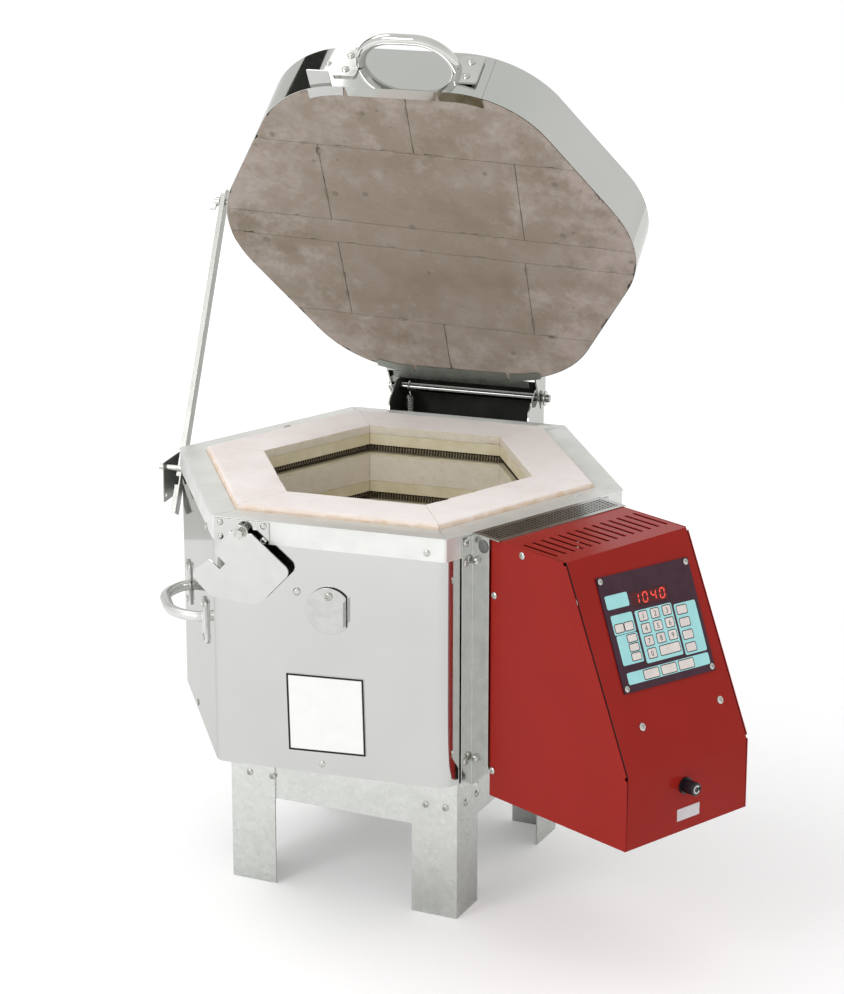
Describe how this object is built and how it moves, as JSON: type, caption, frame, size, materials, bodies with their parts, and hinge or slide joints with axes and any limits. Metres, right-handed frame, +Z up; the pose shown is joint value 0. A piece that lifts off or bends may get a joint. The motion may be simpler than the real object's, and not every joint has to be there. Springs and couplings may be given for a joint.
{
  "type": "small top-loading test kiln",
  "caption": "Small six-sided electric kiln with a hinged brick lid, lid prop and latch, and a sloping control box, on a four-legged stand.",
  "frame": {"origin": "on the floor, under the middle of the overall size", "axes": "+Z up, the front face with the latch looks along -Y, +X to the right seen from the front"},
  "size_m": [0.7298, 0.5987, 0.9504],
  "materials": {
    "mirror_stainless": "polished",
    "galvanised_steel": "satin",
    "zinc_fixings": "satin",
    "stainless_tube": "polished",
    "wall_firebrick": "matte",
    "lid_firebrick": "matte",
    "holder_ceramic": "matte",
    "fibre_board": "matte",
    "element_wire": "matte",
    "sensor_sheath": "matte",
    "red_powder_coat": "gloss",
    "printed_keypad": "satin",
    "display_window": "gloss",
    "black_screws": "satin",
    "circuit_board": "satin",
    "laminated_iron": "satin",
    "relay_case": "satin",
    "fuse_plastic": "satin",
    "fuse_glass": "gloss",
    "label_film": "satin"
  },
  "bodies": {
    "kiln_body": {"jacket": "mirror_stainless", "rim_cap": "mirror_stainless", "backup_insulation": "fibre_board", "bottom_pan": "galvanised_steel", "floor_slab": "wall_firebrick", "wall_bricks_upper": "wall_firebrick", "wall_bricks_lower": "wall_firebrick", "element_holders": "holder_ceramic", "heating_coils": "element_wire", "element_tails": "element_wire", "tail_bushings": "holder_ceramic", "thermocouple": "sensor_sheath", "jacket_screws": "zinc_fixings", "stand_legs": "galvanised_steel", "stand_rails": "galvanised_steel", "stand_screws": "zinc_fixings", "latch_base": "mirror_stainless", "latch_base_screws": "zinc_fixings", "latch_bolt": "zinc_fixings", "side_handle": "stainless_tube", "side_handle_screws": "zinc_fixings", "prop_guide": "galvanised_steel", "prop_pin": "zinc_fixings", "hinge_housing": "galvanised_steel", "hinge_rod": "zinc_fixings", "hinge_push_nuts": "zinc_fixings", "hinge_screws": "zinc_fixings", "hinge_spring": "zinc_fixings", "spring_anchor": "zinc_fixings", "peephole_screw": "zinc_fixings", "label_plate": "label_film", "wiring_channel": "mirror_stainless", "wiring_cover": "galvanised_steel", "vent_grille": "mirror_stainless", "channel_bolts": "zinc_fixings", "box_shell": "red_powder_coat", "box_face": "red_powder_coat", "box_screws": "black_screws", "keypad_plate": "printed_keypad", "display": "display_window", "keypad_screws": "black_screws", "controller_board": "circuit_board", "transformer": "laminated_iron", "relays": "relay_case", "terminal_block": "relay_case", "fuse_holder": "fuse_plastic", "rating_label": "label_film"},
    "lid": {"lid_bricks": "lid_firebrick", "lid_band": "mirror_stainless", "lid_front_plate": "mirror_stainless", "lid_handle": "stainless_tube", "lid_handle_screws": "zinc_fixings", "lid_hinge_plate": "mirror_stainless", "prop_bolt": "zinc_fixings"},
    "prop_arm": {"prop_arm": "galvanised_steel"},
    "latch_hook": {"latch_hook": "mirror_stainless"},
    "peephole_cover": {"peephole_cover": "mirror_stainless"},
    "fuse_cartridge": {"fuse_cartridge": "fuse_glass"},
    "fuse_cap": {"fuse_cap": "fuse_plastic"}
  },
  "joints": [
    {"name": "lid_hinge", "type": "hinge", "parent": "kiln_body", "child": "lid", "pos_m": [-0.0759, 0.2754, 0.4824], "axis": [-1, 0, 0], "range_deg": [-57.4, 8]},
    {"name": "prop_pivot", "type": "hinge", "parent": "lid", "child": "prop_arm", "pos_m": [-0.3419, 0.16859, 0.71642], "axis": [-1, 0, 0], "range_deg": [-4.2, 28.8]},
    {"name": "latch_swing", "type": "hinge", "parent": "kiln_body", "child": "latch_hook", "pos_m": [-0.1712, -0.2279, 0.4507], "axis": [0, 1, 0], "range_deg": [-45, 100]},
    {"name": "peephole_swing", "type": "hinge", "parent": "kiln_body", "child": "peephole_cover", "pos_m": [-0.0751, -0.2202, 0.3871], "axis": [0, -1, 0], "range_deg": [-30, 110]},
    {"name": "fuse_pull", "type": "slide", "parent": "kiln_body", "child": "fuse_cartridge", "axis": [0.866, -0.5, 0], "range_m": [0, 0.036]},
    {"name": "fuse_cap_turn", "type": "hinge", "parent": "fuse_cartridge", "child": "fuse_cap", "pos_m": [0.3261, -0.23, 0.2248], "axis": [0.866, -0.5, 0], "range_deg": [-45, 0]}
  ],
  "couplings": [
    {"joint": "prop_pivot", "follows": "lid_hinge", "ratio": -0.495}
  ]
}
